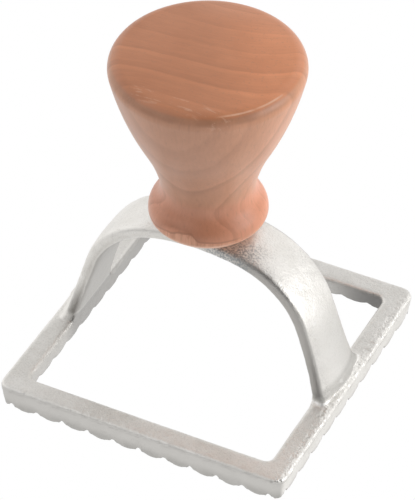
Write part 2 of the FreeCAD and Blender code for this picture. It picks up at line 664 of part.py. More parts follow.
def make_screw(doc, size):
    # The screw, its head down: a rounded slotted head, a plain shank and a point.
    body = doc.addObject("PartDesign::Body", "handle_screw")
    bind(body, {"Placement.Base.z": SCREW_SEAT})
    head = size["screw_head_radius"]
    tall = size["screw_head_height"]
    soft = size["screw_head_round"]
    shank = size["screw_radius"]
    length = size["screw_length"]
    point = size["screw_point"]
    profile = add_sketch(body, "screw_profile", "XZ_Plane")
    corners = [(0, length), (0, -tall), (head - soft, -tall), (head, soft - tall), (head, 0), (shank, 0),
               (shank, length - point)]
    axis = line_between(profile, corners[0], corners[1])
    crown = line_between(profile, corners[1], corners[2])
    soft_edge = arc_between(profile, (head - soft, soft - tall), corners[2], corners[3])
    rim = line_between(profile, corners[3], corners[4])
    under = line_between(profile, corners[4], corners[5])
    side = line_between(profile, corners[5], corners[6])
    tip = line_between(profile, corners[6], corners[0])
    constrain(profile, "Coincident", axis, 2, crown, 1)
    constrain(profile, "Tangent", crown, 2, soft_edge, 1)
    constrain(profile, "Tangent", soft_edge, 2, rim, 1)
    constrain(profile, "Coincident", rim, 2, under, 1)
    constrain(profile, "Coincident", under, 2, side, 1)
    constrain(profile, "Coincident", side, 2, tip, 1)
    constrain(profile, "Coincident", tip, 2, axis, 1)
    constrain(profile, "PointOnObject", axis, 1, -2)
    constrain(profile, "PointOnObject", axis, 2, -2)
    constrain(profile, "Horizontal", crown)
    constrain(profile, "Vertical", rim)
    constrain(profile, "Vertical", side)
    constrain(profile, "PointOnObject", under, 1, -1)
    constrain(profile, "PointOnObject", under, 2, -1)
    constrain(profile, "DistanceX", -1, 1, under, 1, name="head", size="Sizes.screw_head_radius", guess=head)
    constrain(profile, "DistanceX", -1, 1, under, 2, name="shank", size="Sizes.screw_radius", guess=shank)
    constrain(profile, "DistanceY", axis, 2, -1, 1, name="head_height",
              size="Sizes.screw_head_height", guess=tall)
    constrain(profile, "DistanceY", -1, 1, axis, 1, name="length", size="Sizes.screw_length", guess=length)
    constrain(profile, "DistanceY", tip, 1, tip, 2, name="point", size="Sizes.screw_point", guess=point)
    constrain(profile, "Radius", soft_edge, name="soft_edge", size="Sizes.screw_head_round", guess=soft)
    turned = body.newObject("PartDesign::Revolution", "turned_screw")
    turned.Profile = profile
    turned.ReferenceAxis = (profile, ["V_Axis"])
    turned.Angle = 360
    doc.recompute()

    slot_plan = add_sketch(body, "slot_plan", "XY_Plane")
    bind(slot_plan, {"AttachmentOffset.Base.z": "-Sizes.screw_head_height"})
    width = size["slot_width"] / 2
    reach = head + width
    corners = [(-reach, -width), (reach, -width), (reach, width), (-reach, width)]
    lines = polygon(slot_plan, corners)
    words = ("low_left", "low_right", "high_right", "high_left")
    reach_size = "Sizes.screw_head_radius + Sizes.slot_width / 2"
    for line, word, corner in zip(lines, words, corners):
        point_at(slot_plan, line, 1, word, reach_size, "Sizes.slot_width / 2", corner)
    slot = body.newObject("PartDesign::Pocket", "slot")
    slot.Profile = slot_plan
    slot.Reversed = True
    bind(slot, {"Length": "Sizes.slot_depth"})
    body.Tip = slot
    doc.recompute()
    return body


def check(doc, bodies):
    # No object may be in error, and each piece is one valid solid.
    for obj in doc.Objects:
        if "Invalid" in obj.State or "Error" in obj.State:
            raise RuntimeError(f"{obj.Label} is in error: {obj.State}")
    for body in bodies:
        shape = body.Shape
        if shape.isNull() or not shape.isValid() or len(shape.Solids) != 1:
            raise RuntimeError(f"{body.Label} isn't one valid solid")


def main():
    doc = FreeCAD.newDocument("ravioli_stamp")
    sheet = make_sheet(doc)
    size = {name: float(sheet.get(name)) for name in SIZES}
    casting = doc.addObject("PartDesign::Body", "stamp_casting")
    make_frame(doc, casting, size)
    cut_scallops(doc, casting, make_scallop_cutter(doc, size))
    make_arch(doc, casting, size)
    make_screw_seat(doc, casting, size)
    handle = make_handle(doc, size)
    screw = make_screw(doc, size)
    bodies = [casting, handle, screw]
    check(doc, bodies)
    os.makedirs("parts", exist_ok=True)
    for body in bodies:
        body.Shape.exportStep(f"parts/{body.Label}.step")


main()
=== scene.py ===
import bpy
import math
from mathutils import Matrix, Vector, noise


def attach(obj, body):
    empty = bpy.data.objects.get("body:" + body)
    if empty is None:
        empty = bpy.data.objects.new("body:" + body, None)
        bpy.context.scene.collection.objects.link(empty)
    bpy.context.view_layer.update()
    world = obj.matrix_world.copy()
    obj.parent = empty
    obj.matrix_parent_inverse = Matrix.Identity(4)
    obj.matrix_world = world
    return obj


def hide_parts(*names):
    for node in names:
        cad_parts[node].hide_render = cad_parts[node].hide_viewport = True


MM = 0.001
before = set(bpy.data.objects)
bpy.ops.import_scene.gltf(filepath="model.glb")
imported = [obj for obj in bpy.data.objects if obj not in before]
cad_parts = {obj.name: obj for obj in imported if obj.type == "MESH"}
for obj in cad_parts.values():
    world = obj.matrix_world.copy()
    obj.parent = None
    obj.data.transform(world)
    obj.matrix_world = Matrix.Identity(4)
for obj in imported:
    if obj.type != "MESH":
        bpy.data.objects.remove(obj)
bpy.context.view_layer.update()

# The camera, read from the photograph's frame: angles in degrees and lengths in metres, but the lens in mm.
AZIMUTH = 26.9756
ELEVATION = 41.0443
ROLL = -0.28982
DISTANCE = 0.77402
AIM_RIGHT = -0.00026853
AIM_UP = 0.00430564
AIM_HEIGHT = 0.0267
NEAREST = 0.05
FARTHEST = 20
LENS = 253.04
SENSOR_WIDTH = 36

# The soft boxes round the object: degrees to the right of the camera, degrees up, brightness, and how narrow.
SOFT_BOXES = (
    (-165, 15, 0.92, 16), (-135, 15, 1.00, 16), (-105, 15, 1.20, 16), (-45, 15, 0.72, 16), (75, 15, 4.55, 16),
    (135, 15, 1.30, 16), (165, 15, 0.56, 16), (-150, 48, 0.62, 16), (-90, 48, 0.82, 16), (-60, 42, 0.78, 16),
    (-85, 70, 0.40, 24), (-30, 48, 0.10, 16), (90, 48, 0.58, 16), (140, 48, 1.22, 16), (0, 90, 0.48, 16))

# The floor: half its side in metres, the grey that it gives back, and the light of its own that it adds.
FLOOR_HALF = 3.0
FLOOR_GREY = 0.8
FLOOR_GLOW = 0.2


def direction(azimuth, elevation):
    """The unit vector at an azimuth to the right of the front and an elevation, both in radians."""
    return Vector((math.sin(azimuth) * math.cos(elevation), -math.cos(azimuth) * math.cos(elevation),
                   math.sin(elevation)))


def add_object(name, data):
    made = bpy.data.objects.new(name, data)
    bpy.context.scene.collection.objects.link(made)
    return made


def camera():
    azimuth = math.radians(AZIMUTH)
    roll = math.radians(ROLL)
    back = direction(azimuth, math.radians(ELEVATION))
    level = Vector((math.cos(azimuth), math.sin(azimuth), 0))
    right = math.cos(roll) * level + math.sin(roll) * back.cross(level)
    up = back.cross(right)
    place = Vector((0, 0, AIM_HEIGHT)) + AIM_RIGHT * right + AIM_UP * up + DISTANCE * back
    data = bpy.data.cameras.new("camera")
    data.lens = LENS
    data.sensor_width = SENSOR_WIDTH
    data.clip_start = NEAREST
    data.clip_end = FARTHEST
    made = add_object("camera", data)
    made.matrix_world = Matrix((
        (right.x, up.x, back.x, place.x),
        (right.y, up.y, back.y, place.y),
        (right.z, up.z, back.z, place.z),
        (0, 0, 0, 1)))
    bpy.context.scene.camera = made


class Nodes:
    """Short calls for building the node tree of a material or a world."""

    def __init__(self, owner, output):
        owner.use_nodes = True
        self.tree = owner.node_tree
        self.tree.nodes.clear()
        self.output = self.add(output)

    def add(self, kind, **values):
        node = self.tree.nodes.new(kind)
        for key, value in values.items():
            setattr(node, key, value)
        return node

    def link(self, source, target):
        self.tree.links.new(source, target)

    def put(self, socket, value):
        if isinstance(value, bpy.types.NodeSocket):
            self.link(value, socket)
        else:
            socket.default_value = value

    def math(self, operation, first, second=0.0, third=0.0):
        node = self.add("ShaderNodeMath", operation=operation)
        for socket, value in zip(node.inputs, (first, second, third)):
            self.put(socket, value)
        return node.outputs[0]

    def fold(self, operation, values):
        """The values taken together by one operation, from the first to the last."""
        total = values[0]
        for value in values[1:]:
            total = self.math(operation, total, value)
        return total

    def times(self, *values):
        return self.fold("MULTIPLY", values)

    def plus(self, *values):
        return self.fold("ADD", values)

    def largest(self, *values):
        return self.fold("MAXIMUM", values)

    def line(self, value, slope, start):
        """A straight line: start where the value is 0, and slope more where it is 1."""
        return self.math("MULTIPLY_ADD", value, slope, start)

    def size(self, value):
        return self.math("ABSOLUTE", value)

    def along(self, first, second, way):
        """How far two coordinates lead along a way, which is given by its share of each."""
        return self.plus(self.times(first, way[0]), self.times(second, way[1]))

    def fade(self, value, start, end, low=0.0, high=1.0):
        """A smooth step from low at start to high at end."""
        node = self.add("ShaderNodeMapRange", interpolation_type="SMOOTHSTEP", clamp=True)
        self.put(node.inputs["Value"], value)
        for name, limit in (("From Min", start), ("From Max", end), ("To Min", low), ("To Max", high)):
            node.inputs[name].default_value = limit
        return node.outputs["Result"]

    def band(self, value, middle, half, soft):
        """One within half of middle, and zero beyond it by soft."""
        return self.fade(self.size(self.math("SUBTRACT", value, middle)), half + soft, half)

    def fade_mm(self, value, start, end, low=0.0, high=1.0):
        """The step of fade along a length, with start and end in mm."""
        return self.fade(value, start * MM, end * MM, low, high)

    def band_mm(self, value, middle, half, soft):
        return self.band(value, middle * MM, half * MM, soft * MM)

    def noise(self, vector, scale, detail, rough=0.5):
        node = self.add("ShaderNodeTexNoise")
        for name, value in (("Vector", vector), ("Scale", scale), ("Detail", detail), ("Roughness", rough)):
            self.put(node.inputs[name], value)
        return node.outputs["Fac"]

    def stretch(self, vector, scale, place=(0, 0, 0)):
        node = self.add("ShaderNodeMapping")
        for name, value in (("Vector", vector), ("Scale", scale), ("Location", place)):
            self.put(node.inputs[name], value)
        return node.outputs["Vector"]

    def split(self, vector):
        node = self.add("ShaderNodeSeparateXYZ")
        self.put(node.inputs[0], vector)
        return node.outputs[0], node.outputs[1], node.outputs[2]

    def join(self, x, y, z):
        node = self.add("ShaderNodeCombineXYZ")
        for socket, value in zip(node.inputs, (x, y, z)):
            self.put(socket, value)
        return node.outputs[0]

    def ramp(self, value, stops, smooth="LINEAR"):
        node = self.add("ShaderNodeValToRGB")
        self.put(node.inputs["Fac"], value)
        band = node.color_ramp
        band.interpolation = smooth
        while len(band.elements) < len(stops):
            band.elements.new(0.5)
        for element, (position, colour) in zip(band.elements, stops):
            element.position = position
            element.color = (*colour, 1) if isinstance(colour, tuple) else (colour, colour, colour, 1)
        return node.outputs["Color"]

    def mix(self, share, first, second, blend="MIX"):
        node = self.add("ShaderNodeMix", data_type="RGBA", blend_type=blend)
        self.put(node.inputs[0], share)
        for socket, value in ((node.inputs[6], first), (node.inputs[7], second)):
            self.put(socket, (*value, 1) if isinstance(value, tuple) and len(value) == 3 else value)
        return node.outputs[2]

    def multiply(self, first, second):
        return self.mix(1.0, first, second, "MULTIPLY")

    def bump(self, height, strength, distance, normal=None):
        node = self.add("ShaderNodeBump")
        node.inputs["Strength"].default_value = strength
        node.inputs["Distance"].default_value = distance
        self.put(node.inputs["Height"], height)
        if normal is not None:
            self.put(node.inputs["Normal"], normal)
        return node.outputs["Normal"]

    def grey(self, kind, level):
        """A shader of one plain grey, where 1 is white."""
        node = self.add(kind)
        node.inputs["Color"].default_value = (level, level, level, 1)
        return node

    def choose(self, share, first, second):
        """The tree's surface: the first shader where the share is 0, and the second where it is 1."""
        pick = self.add("ShaderNodeMixShader")
        for socket, source in zip(pick.inputs, (share, first.outputs[0], second.outputs[0])):
            self.link(source, socket)
        self.link(pick.outputs[0], self.output.inputs["Surface"])


class Finish(Nodes):
    """One material of the object, with the place on it that its masks are read from."""

    def __init__(self, name, metallic):
        self.material = bpy.data.materials.new(name)
        super().__init__(self.material, "ShaderNodeOutputMaterial")
        self.place = self.add("ShaderNodeTexCoord").outputs["Object"]
        self.x, self.y, self.z = self.split(self.place)
        self.radius = self.math("SQRT", self.plus(self.times(self.x, self.x), self.times(self.y, self.y)))
        self.shader = self.add("ShaderNodeBsdfPrincipled")
        self.shader.inputs["Metallic"].default_value = metallic
        self.link(self.shader.outputs[0], self.output.inputs["Surface"])

    def geometry(self, name):
        return self.add("ShaderNodeNewGeometry").outputs[name]

    def tint(self, tone, tints, masks):
        """The tone with each tint laid over it in turn: its mask's name, how strong it is, and its colour."""
        for name, share, colour in tints:
            tone = self.mix(self.times(masks[name], share), tone, colour)
        return tone

    def relief(self, bumps, heights):
        """The normal with each bump added in turn: its height's name, its strength, and its depth in mm."""
        normal = None
        for name, strength, depth in bumps:
            normal = self.bump(heights[name], strength, depth * MM, normal)
        return normal

    def finish(self, tone, roughness, normal):
        for name, value in (("Base Color", tone), ("Roughness", roughness), ("Normal", normal)):
            self.link(value, self.shader.inputs[name])
        return self.material


# The casting: each noise's scale, detail and roughness, and the scale of the cells that its pits lie in.
METAL_NOISE = {
    "clouds": (110, 4, 0.6), "patches": (420, 3, 0.6), "grain": (2300, 2, 0.6), "speck": (5200, 1, 0.5),
    "rare": (300, 1, 0.5), "hammered": (560, 2, 0.55)}
PIT_SCALE = 620
METAL_DULL = (0.83, 0.808, 0.768)
METAL_PALE = (0.905, 0.885, 0.85)
# Apart from the grain, specks, pits and mould line, these tints are painted light: painted highlights on edges and
# along the right leg's foot, and painted shade elsewhere.
METAL_TINTS = (
    ("dark_grain", 0.22, (0.60, 0.58, 0.545)),
    ("bright_specks", 0.5, (0.98, 0.97, 0.94)),
    ("pits", 0.5, (0.48, 0.46, 0.42)),
    ("rubbed_highlit_edges", 0.6, (0.98, 0.965, 0.94)),
    ("shaded_inner_corners", 0.6, (0.56, 0.545, 0.52)),
    ("mould_line", 0.6, (0.40, 0.385, 0.36)),
    ("shaded_scallop_tips", 1.0, (0.40, 0.385, 0.36)),
    ("shaded_sides", 1.0, (0.42, 0.405, 0.385)),
    ("shaded_fronts", 1.0, (0.60, 0.585, 0.56)),
    ("shaded_low_front", 1.0, (0.40, 0.39, 0.37)),
    ("shaded_far_wall", 0.9, (0.20, 0.195, 0.19)),
    ("shaded_left_wall", 1.0, (0.43, 0.42, 0.405)),
    ("handle_shadow_grain", 0.55, (0.22, 0.255, 0.29)),
    ("shaded_leg_hollow", 0.6, (0.50, 0.49, 0.47)),
    ("highlight_line", 0.9, (1.0, 0.99, 0.97)))
METAL_BUMPS = (
    ("clouds", 0.40, 0.40), ("hammered_lip", 0.7, 0.90), ("mould_line", 0.5, 0.08), ("patches", 0.14, 0.18),
    ("grain", 0.75, 0.12), ("between_pits", 0.6, 0.10))
# The roughness of the metal, what the patches add, and what some of the masks add.
METAL_ROUGHNESS = 0.42
PATCH_ROUGHNESS = 0.10
MASK_ROUGHNESS = (("rubbed_highlit_edges", -0.08), ("under_handle", 0.15), ("shaded_leg_hollow", 0.2))


def grain_masks(n, texture):
    """Grain, specks, and the shallow pits that the sand or the die left."""
    cells = n.add("ShaderNodeTexVoronoi", feature="F1")
    n.link(n.stretch(n.place, (PIT_SCALE, PIT_SCALE, PIT_SCALE)), cells.inputs["Vector"])
    return {
        "dark_grain": n.fade(texture["grain"], 0.5, 0.36),
        "bright_specks": n.fade(texture["speck"], 0.60, 0.70),
        "pits": n.times(n.fade(cells.outputs["Distance"], 0.30, 0.10), n.fade(texture["rare"], 0.56, 0.62))}


def edge_masks(n, texture, reach):
    """The tumbled edges, which are smoother than the faces and carry a painted highlight, and the painted shade in
    the corners and on the tips.
    """
    bend = n.geometry("Pointiness")
    # Painted shade: the convex scallop tips, and the metal near the board, are darker.
    convex_tips = n.times(n.fade(bend, 0.506, 0.530), n.fade_mm(n.z, 4.4, 3.0))
    near_the_board = n.fade_mm(n.z, 2.6, 0.4)
    return {
        # Painted highlight on the tumbled edges, which are also smoother.
        "rubbed_highlit_edges": n.times(n.fade(bend, 0.512, 0.545), n.fade(texture["patches"], 0.36, 0.58),
                                n.fade_mm(n.z, 4.0, 5.2)),
        # Painted shade in the inner corners and fillets.
        "shaded_inner_corners": n.fade(bend, 0.485, 0.44),
        # The two halves of the mould met a millimetre under the top of the frame.
        "mould_line": n.times(n.band_mm(n.z, 5.60, 0.05, 0.16), n.fade_mm(reach, 32.5, 33.0),
                              n.fade(texture["patches"], 0.42, 0.55)),
        "shaded_scallop_tips": n.largest(n.times(convex_tips, 0.7), n.times(near_the_board, 0.35))}


def side_masks(n, texture):
    """Painted shade on the sides of the arch and on the walls of the frame."""
    face_x, face_y, face_z = n.split(n.geometry("Normal"))
    across = n.size(face_y)
    right = n.fade_mm(n.x, 4, 16)
    low = n.fade_mm(n.z, 20, 9)
    arch_side = n.largest(n.times(n.band(across, 0.74, 0.06, 0.42), 0.62), n.times(n.fade(across, 0.6, 0.9), 0.88))
    arch_side = n.times(arch_side, n.fade_mm(n.z, 7.2, 9.0), n.line(low, 0.35, 1.0),
                        n.largest(right, n.line(low, 0.65, 0.25)))
    arch_brink = n.times(n.fade_mm(n.y, -2.6, -7.6), n.fade_mm(n.z, 8.5, 11.0), n.fade(face_z, -0.1, 0.3), right,
                         n.fade(texture["grain"], 0.75, 0.35, 0.12, 0.40))
    left_leg_inside = n.times(n.fade(face_x, 0.25, 0.65), n.fade_mm(n.z, 7.5, 9.5), n.fade_mm(n.x, -6, -12), 0.88)
    right_leg_outside = n.times(n.fade(face_x, 0.76, 0.92), n.fade_mm(n.z, 28, 18), n.fade_mm(n.z, 7.6, 9.0))
    # Painted shade on the inside of the frame's back wall, on the right.
    shaded_far_wall = n.times(n.fade(face_y, -0.35, -0.75), n.fade_mm(n.y, 20, 24), n.fade_mm(n.x, 12, 29, 0.25, 1.0),
                       n.fade_mm(n.x, 0, 4), n.fade_mm(n.z, 6.8, 5.6))
    front = n.times(n.fade(face_y, -0.25, -0.65), n.fade_mm(n.y, -30, -31))
    front_wall = n.times(front, n.fade_mm(n.z, 6.8, 5.8))
    # Painted shade on the inside of the frame's left wall, reaching 2 mm higher from the front of the leg to the
    # back.
    from_the_leg = n.fade_mm(n.y, -10, -8)
    shaded_left_wall = n.times(n.fade(face_x, 0.15, 0.60), n.fade_mm(n.x, -24, -27),
                        n.fade_mm(n.line(from_the_leg, -2.0 * MM, n.z), 6.8, 5.8),
                        n.fade_mm(n.y, -14, -8, 0.45, 0.90))
    return {
        # Painted shade on the sides of the arch, along its front brink, inside the left leg and on the far wall.
        "shaded_sides": n.largest(arch_side, arch_brink, n.times(shaded_far_wall, 0.95), left_leg_inside),
        # Painted shade on the front wall of the frame and on the outside of the right leg.
        "shaded_fronts": n.largest(n.times(front_wall, 0.97), n.times(right_leg_outside, 0.55)),
        # Painted shade, darker towards the bottom of the front.
        "shaded_low_front": n.times(front, n.fade_mm(n.z, 4.2, 0.8), n.fade(texture["patches"], 0.25, 0.6, 0.45, 0.7)),
        "shaded_far_wall": shaded_far_wall,
        "shaded_left_wall": shaded_left_wall}


def foot_masks(n, texture):
    """The rougher metal round the foot of the handle, with a painted shadow, and the matt hollow where the right leg
    runs out, with painted shade and a painted highlight line.
    """
    under_handle = n.times(n.fade_mm(n.radius, 17.2, 13.0), n.fade_mm(n.z, 28, 32), n.fade_mm(n.y, 0.5, -5.0),
                           n.fade_mm(n.x, 0, 4))
    outward = n.fade_mm(n.x, 29, 30)
    aside = n.size(n.y)
    return {
        "under_handle": under_handle,
        # Painted shadow of the handle, laid on as dark grain round its foot.
        "handle_shadow_grain": n.times(under_handle, n.fade(texture["grain"], 0.58, 0.42)),
        # Painted shade in the matt hollow.
        "shaded_leg_hollow": n.times(outward, n.fade_mm(n.z, 7.0, 7.8), n.fade_mm(n.z, 10.4, 8.6),
                              n.fade_mm(aside, 9.5, 8.5)),
        # A painted highlight line along the foot of the right leg.
        "highlight_line": n.times(outward, n.band_mm(n.z, 7.15, 0.08, 0.16), n.fade_mm(aside, 9.8, 9.0),
                               n.fade(texture["patches"], 0.35, 0.5))}


def cast_metal():
    n = Finish("cast_metal", 1.0)
    texture = {name: n.noise(n.place, *values) for name, values in METAL_NOISE.items()}
    reach = n.largest(n.size(n.x), n.size(n.y))
    masks = {**grain_masks(n, texture), **edge_masks(n, texture, reach), **side_masks(n, texture),
             **foot_masks(n, texture)}
    tone = n.mix(n.fade(texture["clouds"], 0.35, 0.68), METAL_DULL, METAL_PALE)
    tone = n.tint(tone, METAL_TINTS, masks)
    rough = n.line(texture["patches"], PATCH_ROUGHNESS, METAL_ROUGHNESS)
    for name, change in MASK_ROUGHNESS:
        rough = n.line(masks[name], change, rough)
    # The outer lip of the frame is uneven, most of all on the right.
    lip = n.times(n.fade_mm(reach, 32.6, 33.4), n.fade_mm(n.z, 4.0, 5.6), n.fade_mm(n.z, 8.0, 7.0),
                  n.fade_mm(n.x, 32.2, 33.2, 0.22, 1.0))
    heights = {**texture, **masks, "hammered_lip": n.times(lip, n.math("SUBTRACT", texture["hammered"], 0.5)),
               "between_pits": n.math("SUBTRACT", 1.0, masks["pits"])}
    return n.finish(tone, rough, n.relief(METAL_BUMPS, heights))


# The handle: how each noise is stretched, and its scale, detail and roughness.
WOOD_NOISE = {
    "wander": ((1, 1, 1), 160, 2, 0.5), "flank_streak": ((1500, 1500, 130), 1.0, 3, 0.6),
    "clouds": ((1, 1, 0.5), 75, 3, 0.55), "fleck": ((2100, 2100, 420), 1.0, 1, 0.5),
    "uneven": ((1, 1, 1), 260, 3, 0.6), "torn": ((330, 1500, 900), 1.0, 3, 0.6)}
WOOD_FLANK = (0.578, 0.279, 0.163)
WOOD_TOP = (0.598, 0.232, 0.107)
# Painted reflection: the foot of the handle is redder, where the wood reflects itself.
WOOD_BASE_REFLECTED = (0.645, 0.282, 0.168)
# Painted sheen: the back of the top is paler.
WOOD_TOP_SHEEN = (0.72, 0.38, 0.26)
# What the tone is multiplied by at the two ends of a step.
# Painted light: the next two gains make the right of the wood, and faces turned right and back, paler.
RIGHT_LIGHT_GAIN = ((1.0, 1.0, 1.0), (1.30, 1.28, 1.26))
FACING_LIGHT_GAIN = ((1.0, 1.0, 1.0), (1.15, 1.14, 1.13))
CLOUD_GAIN = ((0.95, 0.93, 0.90), (1.05, 1.07, 1.10))
STREAK_GAIN = ((0.96, 0.95, 0.94), (1.04, 1.05, 1.06))
# Three tints are painted light: painted shade on the rim of the top, and painted highlights on the crisp edge and on
# the foot edge.
WOOD_TINTS = (
    ("front_layer", 1.0, (0.90, 0.49, 0.32)),
    ("layer_line", 0.42, (0.36, 0.14, 0.075)),
    ("ray_flecks", 0.22, (0.42, 0.205, 0.125)),
    ("shaded_rim", 1.0, (0.34, 0.15, 0.085)),
    ("edge_highlight", 1.0, (0.95, 0.62, 0.44)),
    ("torn_grain", 0.3, (0.84, 0.56, 0.42)),
    ("foot_edge_highlight", 0.55, (0.95, 0.55, 0.36)))
WOOD_BUMPS = (("streak", 0.25, 0.06), ("torn", 0.35, 0.08))
WOOD_COAT = 0.3
WOOD_COAT_ROUGHNESS = 0.32
# The shares of x and y in two ways across the handle: to the right and a little back, and to the front right.
RIGHT_BACK = (0.89, 0.45)
RIGHT_FRONT = (0.84, -0.54)

# The field that the growth rings follow: factors of products of x, y and z, in units of 20 mm from the head's middle.
FIELD_SCALE = 50
HEAD_MIDDLE = 66.7 * MM
FIELD = (
    (-20.0, "y"), (1.579, "x"), (6.983, "xx"), (1.213, "xxx"), (3.464, "z"), (0.682, "zz"), (1.675, "zzz"),
    (0.896, "xz"), (-4.434, "xxz"), (-1.113, "xzz"), (1.343, "xy"), (6.657, "yz"), (3.155, "xxy"))
# Growth rings: distances in mm along the field, from the back of the handle to the front, and how strong each is.
RINGS = ((-17.5, 0.6), (-11.8, 0.4), (-5.6, 0.5), (-0.5, 0.35), (4.4, 0.45), (8.56, 0.9), (12.37, 1.0), (16.09, 0.6),
         (18.07, 0.45))
RING_REACH = 24.0
# How dark and how bright the two sides of a ring are, and how much of that each of red, green and blue takes.
FLANK_RING = (0.18, 0.07)
TOP_RING = (0.10, 0.13)
RING_WEIGHTS = (0.85, 1.0, 1.15)
# The height of the dark line on the foot, from left to right: 0 is 44 mm up and 1 is 48 mm.
LAYER_EDGE = ((0.10, 0.30), (0.36, 0.52), (0.48, 0.73), (0.60, 0.79), (0.71, 0.42), (0.92, 0.36))
LAYER_START = 44 * MM
LAYER_RISE = 4 * MM


def wood_field(n, wander):
    moved = n.stretch(n.place, (FIELD_SCALE, FIELD_SCALE, FIELD_SCALE), (0, 0, -HEAD_MIDDLE * FIELD_SCALE))
    axes = dict(zip("xyz", n.split(moved)))
    terms = [n.times(*(axes[name] for name in names), factor) for factor, names in FIELD]
    return n.plus(*terms, n.line(wander, 0.5, -0.25))


def ring_stops(rings, dark, bright):
    """The colour stops of some rings, at half strength because a ramp's colours end at 1."""
    stops = [(0.0, (0.5, 0.5, 0.5))]
    for place, share in rings:
        for offset, level in ((-1.2, 0.0), (-0.10, -dark), (0.10, bright), (1.0, 0.0)):
            tint = [0.5 * (1 + share * level * weight) for weight in RING_WEIGHTS]
            stops.append(((place + offset + RING_REACH) / (2 * RING_REACH), tuple(tint)))
    stops.append((1.0, (0.5, 0.5, 0.5)))
    return stops


def ring_lines(n, field, top):
    """What the rings multiply the tone by. A ramp has room for seven of them, so they are in two groups."""
    share = n.line(field, 1 / (2 * RING_REACH), 0.5)
    groups = []
    for rings in (RINGS[:5], RINGS[5:]):
        flank_lines, top_lines = (n.ramp(share, ring_stops(rings, *levels)) for levels in (FLANK_RING, TOP_RING))
        groups.append(n.multiply(n.mix(top, flank_lines, top_lines), (2.0, 2.0, 2.0)))
    return n.multiply(*groups)


def wood_masks(n, texture, streak):
    # The last layer at the front of the foot is paler and streaked, under a wavy dark line.
    crest = n.line(n.ramp(n.line(n.x, 50, 0.5), LAYER_EDGE, "EASE"), LAYER_RISE, LAYER_START)
    below = n.math("SUBTRACT", crest, n.z)
    facing = n.fade_mm(n.y, -6.0, -8.5)
    # The rounded rim of the top has painted shade, strongest at its front.
    rim = n.times(n.fade_mm(n.radius, 19.6, 20.4), n.band_mm(n.z, 84.8, 0.35, 0.85),
                  n.fade(texture["uneven"], 0.25, 0.60, 0.35, 1.0))
    rim_front = n.times(n.fade_mm(n.y, 2, -10), n.fade_mm(n.x, -17, -10))
    # At the front right the flat of the top meets the rounding in a crisp edge with a painted highlight, and the
    # grain is torn near it.
    crisp = n.times(n.band_mm(n.radius, 19.85, 0.08, 0.16), n.fade_mm(n.z, 84.5, 85.2),
                    n.fade_mm(n.along(n.x, n.y, RIGHT_FRONT), 17.6, 19.2))
    torn_place = n.times(n.band_mm(n.y, -17.2, 1.0, 1.8), n.band_mm(n.x, 3, 9, 6), n.fade_mm(n.z, 82, 84))
    return {
        "front_layer": n.times(n.fade_mm(below, 0.0, 0.2), facing, n.fade(streak, 0.35, 0.65, 0.1, 0.6)),
        "layer_line": n.times(n.band_mm(below, -0.12, 0.08, 0.28), facing),
        "ray_flecks": n.fade(texture["fleck"], 0.60, 0.72),
        "shaded_rim": n.times(rim, n.line(rim_front, 0.34, 0.05), n.line(streak, 0.8, 0.6)),
        "edge_highlight": n.times(crisp, n.fade(texture["uneven"], 0.30, 0.62, 0.15, 0.65)),
        "torn_grain": n.times(n.fade(texture["torn"], 0.56, 0.66), torn_place),
        # A painted highlight on the turned edge at the foot of the handle.
        "foot_edge_highlight": n.fade_mm(n.z, 44.9, 44.5)}


def handle_wood():
    n = Finish("handle_wood", 0.0)
    face_x, face_y, face_z = n.split(n.geometry("Normal"))
    texture = {name: n.noise(n.stretch(n.place, size), *values) for name, (size, *values) in WOOD_NOISE.items()}
    field = wood_field(n, texture["wander"])
    top = n.fade(face_z, 0.55, 0.8)
    # Streaks that follow the rings on the top, and run up and down the flank.
    top_streak = n.noise(n.join(n.times(n.x, 130), n.times(field, 2.2), 0.0), 1.0, 4, 0.65)
    streak = n.mix(top, texture["flank_streak"], top_streak)
    tone = n.mix(top, WOOD_FLANK, WOOD_TOP)
    # Painted reflection: the foot is redder low down.
    tone = n.mix(n.fade_mm(n.z, 55.5, 50.5), tone, WOOD_BASE_REFLECTED)
    # Painted light: the wood is paler on the right and on faces turned right and back, and a painted sheen makes the
    # back of the top paler.
    right = n.fade_mm(n.along(n.x, n.y, RIGHT_BACK), -2, 15)
    turned = n.fade(n.along(face_x, face_y, RIGHT_BACK), 0.50, 0.95)
    tone = n.multiply(tone, n.mix(right, *RIGHT_LIGHT_GAIN))
    tone = n.multiply(tone, n.mix(turned, *FACING_LIGHT_GAIN))
    tone = n.mix(n.times(top, n.fade_mm(n.y, 10, 20), 0.30), tone, WOOD_TOP_SHEEN)
    tone = n.multiply(tone, n.mix(n.fade(texture["clouds"], 0.3, 0.7), *CLOUD_GAIN))
    tone = n.multiply(tone, n.mix(n.fade(streak, 0.25, 0.75), *STREAK_GAIN))
    tone = n.multiply(tone, ring_lines(n, field, top))
    tone = n.tint(tone, WOOD_TINTS, wood_masks(n, texture, streak))
    n.shader.inputs["Coat Weight"].default_value = WOOD_COAT
    n.shader.inputs["Coat Roughness"].default_value = WOOD_COAT_ROUGHNESS
    return n.finish(tone, n.line(streak, 0.16, 0.33), n.relief(WOOD_BUMPS, {**texture, "streak": streak}))


STEEL_DULL = (0.50, 0.49, 0.47)
STEEL_PALE = (0.62, 0.62, 0.61)


def screw_steel():
    n = Finish("screw_steel", 1.0)
    # Fine rings from turning, and a cloudy stain.
    turned = n.noise(n.join(n.times(n.radius, 9000), n.times(n.z, 3000), 0.0), 1.0, 2)
    stain = n.noise(n.place, 700, 3)
    tone = n.mix(n.fade(stain, 0.35, 0.7), STEEL_DULL, STEEL_PALE)
    return n.finish(tone, n.line(stain, 0.2, 0.24), n.relief((("turned", 0.3, 0.03),), {"turned": turned}))


